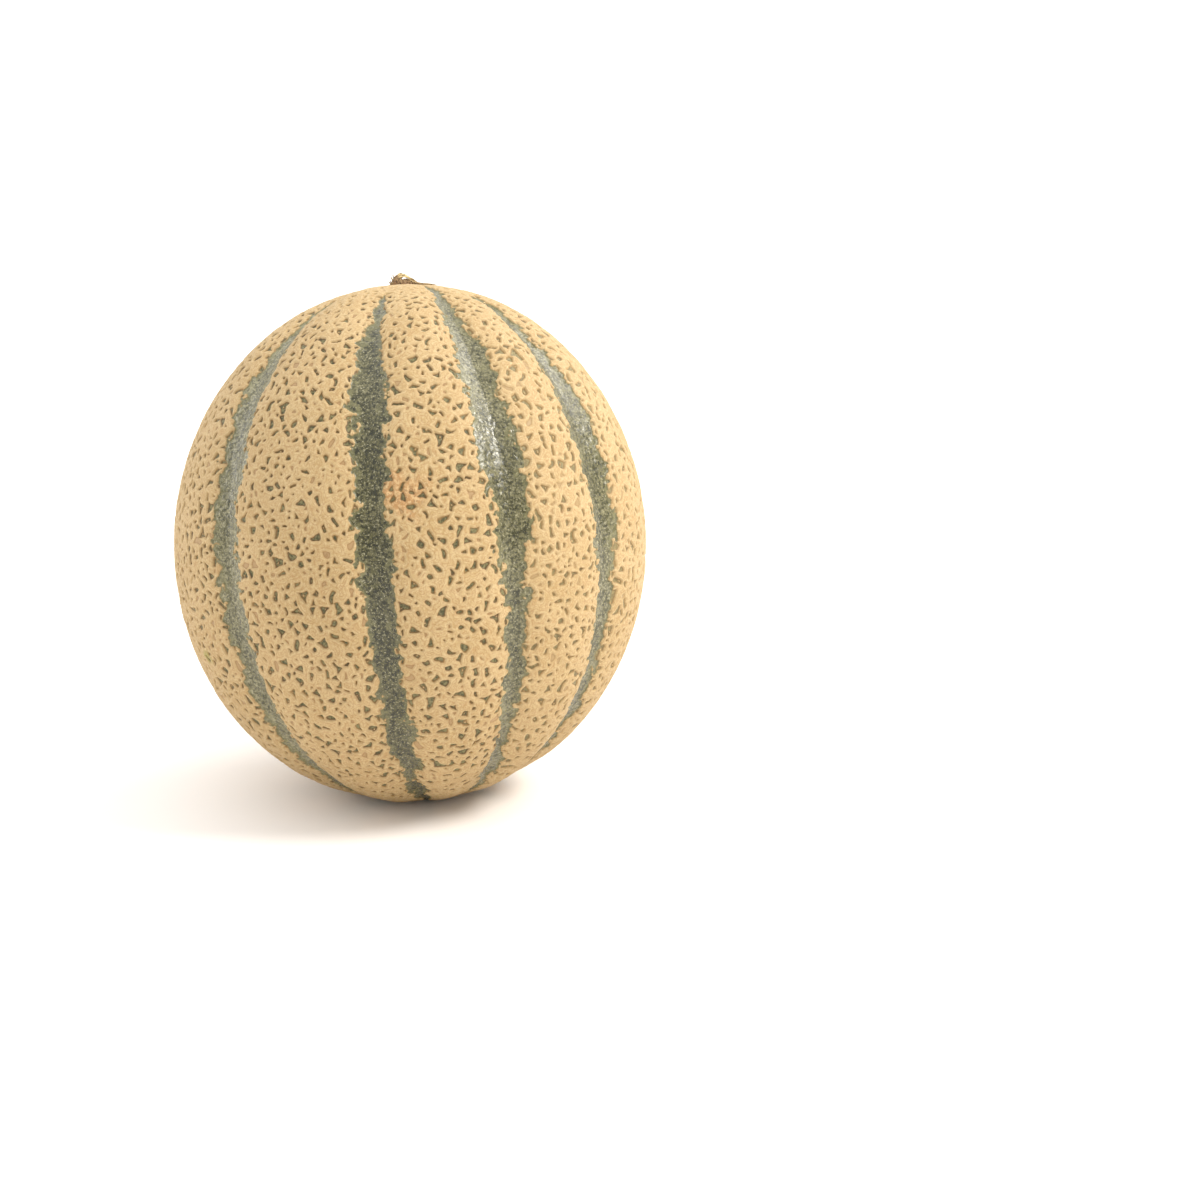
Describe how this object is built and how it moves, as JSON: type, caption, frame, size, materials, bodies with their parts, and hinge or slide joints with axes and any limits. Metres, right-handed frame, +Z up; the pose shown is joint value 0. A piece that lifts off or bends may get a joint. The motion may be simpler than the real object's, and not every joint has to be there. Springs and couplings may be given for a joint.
{
  "type": "cantaloupe melon",
  "caption": "Whole round netted cantaloupe melon with smooth grooves between its ribs and a dried stem stub, resting on a small flat spot.",
  "frame": {"origin": "on the plane of the small flat spot that the melon rests on, below the middle of its width and depth", "axes": "+Z up through the melon, its long way; -Y to the front, where four sutures show; +X to the viewer's right; the stem end leans back towards +Y"},
  "size_m": [0.1382, 0.1398, 0.1532],
  "materials": {
    "rind": "matte",
    "stem": "matte"
  },
  "bodies": {
    "root": {"melon_fruit": "rind", "stem_stub": "stem"}
  },
  "joints": []
}
